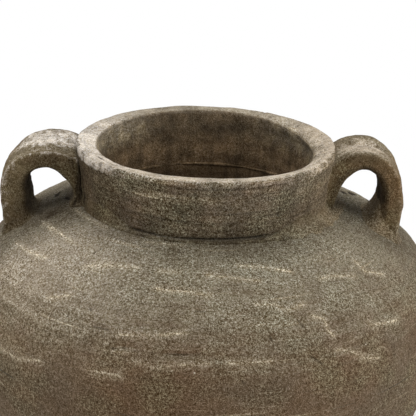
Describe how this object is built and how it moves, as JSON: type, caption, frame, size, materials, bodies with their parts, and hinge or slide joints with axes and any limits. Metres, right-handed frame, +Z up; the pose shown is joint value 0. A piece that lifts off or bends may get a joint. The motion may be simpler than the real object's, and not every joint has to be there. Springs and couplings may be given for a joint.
{
  "type": "cauldron vase",
  "caption": "Wide round earthenware cauldron vase with a short flaring neck, a thick flat lip and strap handles looping from neck to shoulder.",
  "frame": {"origin": "centre of the base, on the surface that the vase stands on", "axes": "+Z up through the mouth, X through both handles with the right handle at +X, -Y towards the viewer"},
  "size_m": [0.364, 0.364, 0.2831],
  "materials": {
    "body_clay": "unglazed, sandy, rough",
    "neck_clay": "unglazed, sandy, rough",
    "handle_clay": "unglazed, worn paler on top",
    "coil_clay": "unglazed, smeared by finger"
  },
  "bodies": {
    "root": {"base_slab": "body_clay", "lower_body": "body_clay", "shoulder": "body_clay", "neck_collar": "neck_clay", "neck_seam_coil": "coil_clay", "neck_lining_coil": "coil_clay", "belly_seam_coil": "coil_clay", "base_seam_coil": "coil_clay", "left_handle": "handle_clay", "right_handle": "handle_clay", "left_handle_foot_coil": "coil_clay", "right_handle_foot_coil": "coil_clay"}
  },
  "joints": []
}
